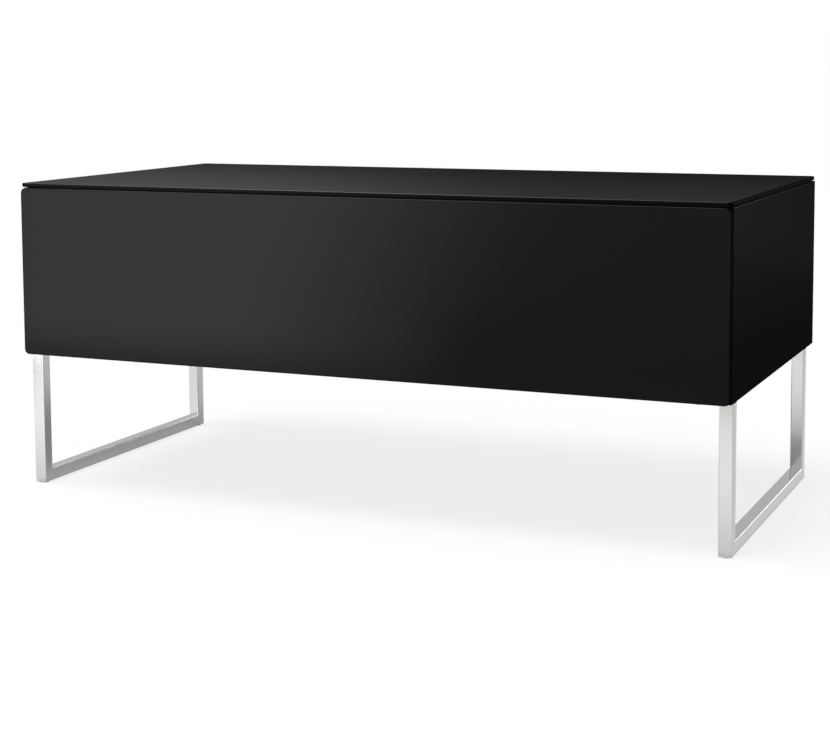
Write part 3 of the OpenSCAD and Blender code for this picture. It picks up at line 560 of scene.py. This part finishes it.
def leg_frame_right():
    """The right sled leg: a mitred U of satin tube with two fixing plates welded to the posts."""
    low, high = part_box("leg_frame_right")
    x0, x1 = high.x - TUBE, high.x
    front, back = low.y, high.y
    foot, top = low.z, high.z
    front_mitre = (0, front, foot)
    back_mitre = (0, back, foot)
    bar = tube_bar("bar", (x0, front, foot), (x1, back, foot + TUBE), 1,
                   [(front_mitre, (0, 1, -1)), (back_mitre, (0, -1, -1))])
    front_post = tube_bar("front_post", (x0, front, foot), (x1, front + TUBE, top), 2,
                          [(front_mitre, (0, -1, 1))])
    back_post = tube_bar("back_post", (x0, back - TUBE, foot), (x1, back, top), 2,
                         [(back_mitre, (0, 1, 1))])
    dress(bar, STEEL_LYING)
    dress(front_post, STEEL_UPRIGHT)
    dress(back_post, STEEL_UPRIGHT)
    parts = [bar, front_post, back_post]
    plate_w = x0 - low.x
    for y, post_y in ((front, front), (back - plate_w, back - TUBE)):
        plate = block("plate", (low.x, y, top - PLATE_T), (x0, y + plate_w, top))
        edit(plate, "EDGE", lambda e: runs_along(e, 2) and e.verts[0].co.x < low.x + TUBE)
        bpy.ops.mesh.bevel(offset=PLATE_CORNER, segments=6, affect="EDGES")
        leave()
        round_edges(plate, PLATE_EDGE, segments=2)
        dress(plate, STEEL_LYING)
        weld_from = (x0, post_y + WELD_STEP, top - PLATE_T)
        weld_to = (x0, post_y + TUBE - WELD_STEP, top - PLATE_T)
        weld = weld_bead("weld", weld_from, weld_to)
        dress(weld, STEEL_LYING)
        parts += [plate, weld]
    return join("leg_frame_right_finished", parts)


def mirrored(obj, name):
    """A copy of obj turned over to the other side of the rack, with its faces outwards again."""
    other = obj.copy()
    other.data = obj.data.copy()
    other.name = other.data.name = name
    bpy.context.scene.collection.objects.link(other)
    choose(other)
    bpy.ops.transform.resize(value=(-1, 1, 1), center_override=(0, 0, 0))
    bpy.ops.object.transform_apply(location=True, rotation=True, scale=True)
    edit(other, "FACE")
    bpy.ops.mesh.select_all(action="SELECT")
    bpy.ops.mesh.remove_doubles(threshold=SAME_POINT)
    bpy.ops.mesh.normals_make_consistent(inside=False)
    leave()
    shade_flat_faces(other)
    return other


def screw_dome(axis, side, offset):
    """Rounds the outer rim of every screw head that looks to that side along an axis."""
    def shape(obj):
        level = max(side * v.co[axis] for v in obj.data.vertices)
        edit(obj, "EDGE", lambda e: all(side * v.co[axis] > level - SAME_LEVEL for v in e.verts)
             and e.calc_length() < RIM_FACET)
        bpy.ops.mesh.bevel(offset=offset, segments=4, affect="EDGES")
        leave()
    return shape


def both(name):
    """The names of a left and right pair."""
    return [name + "_left", name + "_right"]


def make_glass_and_legs():
    """The pieces that are modelled anew."""
    glass_sheet("top_glass", 2, TOP_ARRIS, side_turn=0.3)
    glass_sheet("flap_glass", 1, FLAP_PENCIL_EDGE, side_turn=0.05)
    right = leg_frame_right()
    left = mirrored(right, "leg_frame_left_finished")
    stand_for(right, "leg_frame_right")
    stand_for(left, "leg_frame_left")


def make_boards():
    """Sides, panels, shelves and the flap's board."""
    for node in both("side_panel"):
        side_panel(node)
    plain = ["top_panel", "bottom_panel", "centre_partition", "flap_board"]
    for node in plain + both("back_panel") + both("shelf"):
        refined(node, MELAMINE, BOARD_EDGE)


def make_fittings():
    """Hinges, dampers, latches, grommets, pads, glides, pins and screws."""
    for node in ("hinge_leaves_fixed", "hinge_leaves_flap", "strike_plates"):
        refined(node, ZINC, SHEET_METAL_EDGE)
    for node in both("flap_bracket") + both("damper_lever") + both("damper_rod"):
        refined(node, ZINC, ARM_EDGE)
    for node in both("damper_housing"):
        refined(node, BLACK_NYLON, HOUSING_EDGE, 3)
    for node in both("latch_body"):
        refined(node, BLACK_NYLON, LATCH_EDGE)
    for node in both("latch_plunger"):
        refined(node, ACETAL, LATCH_EDGE)
    refined("cable_grommets", BLACK_NYLON, SOFT_EDGE, 3)
    refined("glass_pads", SILICONE, SMALL_EDGE)
    refined("flap_bumpers", SILICONE, SOFT_EDGE, 3)
    refined("floor_glides", GREY_NYLON, SMALL_EDGE)
    refined("shelf_pins", ZINC, SMALL_EDGE)
    refined("back_screws", ZINC, SCREW_EDGE, dome=screw_dome(1, 1, SCREW_DOME))
    refined("leg_bolts", ZINC, BOLT_EDGE, dome=screw_dome(2, -1, BOLT_DOME))
    for node in ("hinge_screws_fixed", "hinge_screws_flap", "damper_screws", "bracket_screws",
                 "latch_screws", "strike_screws", "partition_screws"):
        refined(node, ZINC, SCREW_EDGE)


def dress_nodes():
    """Materials for the nodes that keep their shape."""
    single = ["hinge_pins", "bracket_pins", "leg_inserts", "cam_locks", "cam_bolts"]
    for node in single + both("damper_axle") + both("rod_rivet"):
        dress(nodes[node], ZINC)
    dress(nodes["dowels"], BEECH)


def make_camera():
    """The photograph's camera: fitted to the box's corners, with a small shift for its upright lines."""
    data = bpy.data.cameras.new("camera")
    data.sensor_width = SENSOR_W
    data.lens = FOCAL_PX * SENSOR_W / PHOTO_W
    data.shift_y = CAMERA_SHIFT
    data.clip_end = CAMERA_REACH
    camera = bpy.data.objects.new("camera", data)
    yaw, pitch, roll = (math.radians(angle) for angle in (YAW, PITCH, ROLL))
    ahead = Vector((-math.sin(yaw) * math.cos(pitch), math.cos(yaw) * math.cos(pitch), -math.sin(pitch)))
    level = Vector((math.cos(yaw), math.sin(yaw), 0))
    above = level.cross(ahead)
    right = level * math.cos(roll) + above * math.sin(roll)
    up = above * math.cos(roll) - level * math.sin(roll)
    turn = Matrix((right, up, -ahead)).transposed().to_4x4()
    camera.matrix_world = Matrix.Translation(CAMERA_AT) @ turn
    bpy.context.scene.collection.objects.link(camera)
    bpy.context.scene.camera = camera


def area_light(name, at, towards, size, power):
    """A soft box that lights the rack, and that neither the camera nor reflections see."""
    data = bpy.data.lights.new(name, "AREA")
    data.shape = "RECTANGLE"
    data.size, data.size_y = size
    data.energy = power
    lamp = bpy.data.objects.new(name, data)
    lamp.matrix_world = (Matrix.Translation(at)
                         @ (Vector(towards) - Vector(at)).to_track_quat("-Z", "Y").to_matrix().to_4x4())
    lamp.visible_camera = lamp.visible_glossy = False
    bpy.context.scene.collection.objects.link(lamp)


def card(name, low, high, strengths, rise=(0, 1), shades=(WHITE, WHITE), fade=(0, 1), slant=0):
    """A lit card, upright or lying, that only reflections see. Its strength goes from one to the other
    between the two heights of rise, or two places on Y if it lies. Its shade goes from one to the other
    between the two places on X of fade, which slant moves to the right for each metre of height."""
    bpy.ops.object.select_all(action="DESELECT")
    size = Vector(high) - Vector(low)
    upright = size.y == 0
    bpy.ops.mesh.primitive_plane_add(size=1, location=(Vector(low) + Vector(high)) / 2,
                                     rotation=(math.pi / 2 if upright else 0, 0, 0))
    made = bpy.context.object
    made.name = name
    made.scale = (size.x, size.z if upright else size.y, 1)
    bpy.ops.object.transform_apply(location=True, rotation=True, scale=True)
    mat = bpy.data.materials.new(name)
    mat.use_nodes = True
    tree = mat.node_tree
    tree.nodes.clear()
    place = add(tree, "ShaderNodeTexCoord").outputs["Object"]
    across = add(tree, "ShaderNodeVectorMath", {0: place, 1: (1, 0, -slant)}, operation="DOT_PRODUCT")
    along = add(tree, "ShaderNodeVectorMath", {0: place, 1: (0, 0, 1) if upright else (0, 1, 0)},
                operation="DOT_PRODUCT")
    turn = add(tree, "ShaderNodeMapRange",
               {"Value": across.outputs["Value"], "From Min": fade[0], "From Max": fade[1]},
               interpolation_type="SMOOTHSTEP")
    level = add(tree, "ShaderNodeMapRange",
                {"Value": along.outputs["Value"], "From Min": rise[0], "From Max": rise[1],
                 "To Min": strengths[0], "To Max": strengths[1]})
    grey = add(tree, "ShaderNodeMix",
               {"Factor": turn.outputs["Result"], "A": linear(shades[0]), "B": linear(shades[1])},
               data_type="RGBA")
    glow = add(tree, "ShaderNodeEmission", {"Color": grey.outputs[2], "Strength": level.outputs["Result"]})
    add(tree, "ShaderNodeOutputMaterial", {"Surface": glow.outputs[0]})
    made.data.materials.append(mat)
    for kind in ("camera", "diffuse", "transmission", "volume_scatter", "shadow"):
        setattr(made, "visible_" + kind, False)


def sees_room(tree, path):
    """1 for the rays that see the room: the camera's, and those that the rack reflects or lets through."""
    eye = add(tree, "ShaderNodeMath", {0: path["Is Camera Ray"], 1: path["Is Glossy Ray"]},
              operation="MAXIMUM")
    seen = add(tree, "ShaderNodeMath", {0: eye.outputs[0], 1: path["Is Transmission Ray"]},
               operation="MAXIMUM")
    return seen.outputs[0]


def make_room():
    """A room that looks white and lights the rack at a plain level."""
    world = bpy.data.worlds.new("studio")
    world.use_nodes = True
    bpy.context.scene.world = world
    tree = world.node_tree
    tree.nodes.clear()
    path = add(tree, "ShaderNodeLightPath").outputs
    white = add(tree, "ShaderNodeBackground", {"Color": linear(WHITE), "Strength": 1.0})
    soft = add(tree, "ShaderNodeBackground", {"Color": linear(WHITE), "Strength": AMBIENT})
    seen = sees_room(tree, path)
    mix = add(tree, "ShaderNodeMixShader", {0: seen, 1: soft.outputs[0], 2: white.outputs[0]})
    add(tree, "ShaderNodeOutputWorld", {"Surface": mix.outputs[0]})


def make_lamps():
    """A broad sun from above, which casts the soft shadow, and a soft box in front."""
    sun = bpy.data.lights.new("key_sun", "SUN")
    sun.energy = SUN_POWER
    sun.angle = math.radians(SUN_SPREAD)
    lamp = bpy.data.objects.new("key_sun", sun)
    lamp.rotation_euler = (math.radians(SUN_FROM_FRONT), math.radians(-SUN_FROM_LEFT), 0)
    lamp.visible_glossy = False
    bpy.context.scene.collection.objects.link(lamp)
    area_light("front_soft_box", at=(-0.7, -2.7, 0.5), towards=(-0.1, -0.5, 0.0), size=(1.8, 0.7), power=50)


def make_cards():
    """The cards and boards round the rack that shape what its glass, lacquer and steel reflect."""
    # The card behind the rack keeps the white room off the black top, the lower one off the bars of the legs
    card("back_card", (-2.5, 0.95, 0.46), (2.5, 0.95, 1.1), (0.0, 5.6), rise=(0.57, 1.04),
         shades=(WHITE, "#adadad"), fade=(-0.9, -0.1))
    card("bar_card", (-1.7, 0.95, 0.1), (0.5, 0.95, 0.46), (0.55, 0.75), rise=(0.1, 0.46))
    # The card in front gives the flap its soft light on the left, and the small one takes some off low down
    card("front_card", (-0.98, -0.75, 0.14), (0.8, -0.75, 1.0), (10.5, 6.8), rise=(0.14, 0.22),
         shades=(WHITE, "#747474"), fade=(-0.596, -0.046), slant=0.51)
    card("shade_card", (-0.05, -0.73, 0.13), (0.9, -0.73, 0.24), (0.4, 1.1), rise=(0.13, 0.24))
    # The card overhead draws the thin bright lines along the upper edges
    card("top_card", (-1.75, -1.2, 2.4), (0.6, 1.0, 2.4), (6.5, 6.5),
         shades=(WHITE, "#a8a8a8"), fade=(-1.1, -0.3))
    # Boards just above the floor and a strip far behind light the legs and the right side
    card("front_board", (-1.12, -1.2, 1 * MM), (0.8, -0.275, 1 * MM), (1.46, 1.1), rise=(-0.62, -0.3),
         shades=(WHITE, "#f4f4f4"), fade=(-0.6, 0.3))
    card("left_board", (-1.3, -0.27, 1 * MM), (-0.552, 0.3, 1 * MM), (1.2, 1.2))
    card("right_board", (0.552, -0.27, 1 * MM), (0.9, 1.2, 1 * MM), (0.8, 0.8))
    card("inner_board", (0.3, -0.28, 1 * MM), (0.548, -0.12, 1 * MM), (0.85, 0.85))
    card("side_board", (0.85, 1.2, 2 * MM), (2.2, 2.5, 2 * MM), (4.2, 4.2),
         shades=("#101010", WHITE), fade=(0.85, 1.5))
    card("side_strip", (0.9, 3.0, 0.0), (2.0, 3.0, 0.4), (5.2, 5.2),
         shades=("#2c2c2c", WHITE), fade=(0.95, 1.35))


def make_floor():
    """A pale floor that melts into the white room and keeps the rack's shadow.
    It glows less in reflections, so that the steel stays grey."""
    bpy.ops.object.select_all(action="DESELECT")
    bpy.ops.mesh.primitive_plane_add(size=FLOOR_SIZE)
    floor = bpy.context.object
    floor.name = "floor"
    mat = bpy.data.materials.new("pale_floor")
    mat.use_nodes = True
    tree = mat.node_tree
    tree.nodes.clear()
    path = add(tree, "ShaderNodeLightPath").outputs
    reflected = path["Is Glossy Ray"]
    bright = add(tree, "ShaderNodeMapRange", {"Value": reflected, "To Min": FLOOR_WHITE, "To Max": 1.0})
    glow = add(tree, "ShaderNodeEmission", {"Color": linear(WHITE), "Strength": bright.outputs["Result"]})
    paint = add(tree, "ShaderNodeBsdfDiffuse", {"Color": linear(FLOOR_PAINT)})
    level = add(tree, "ShaderNodeMapRange",
                {"Value": reflected, "To Min": FLOOR_GLOW, "To Max": FLOOR_GLOW_REFLECTED})
    share = add(tree, "ShaderNodeMath", {0: sees_room(tree, path), 1: level.outputs["Result"]},
                operation="MULTIPLY")
    mix = add(tree, "ShaderNodeMixShader", {0: share.outputs[0], 1: paint.outputs[0], 2: glow.outputs[0]})
    add(tree, "ShaderNodeOutputMaterial", {"Surface": mix.outputs[0]})
    floor.data.materials.append(mat)


bpy.context.scene.view_settings.view_transform = "Standard"
make_camera()
make_room()
make_lamps()
make_cards()
make_floor()
make_glass_and_legs()
make_boards()
make_fittings()
dress_nodes()
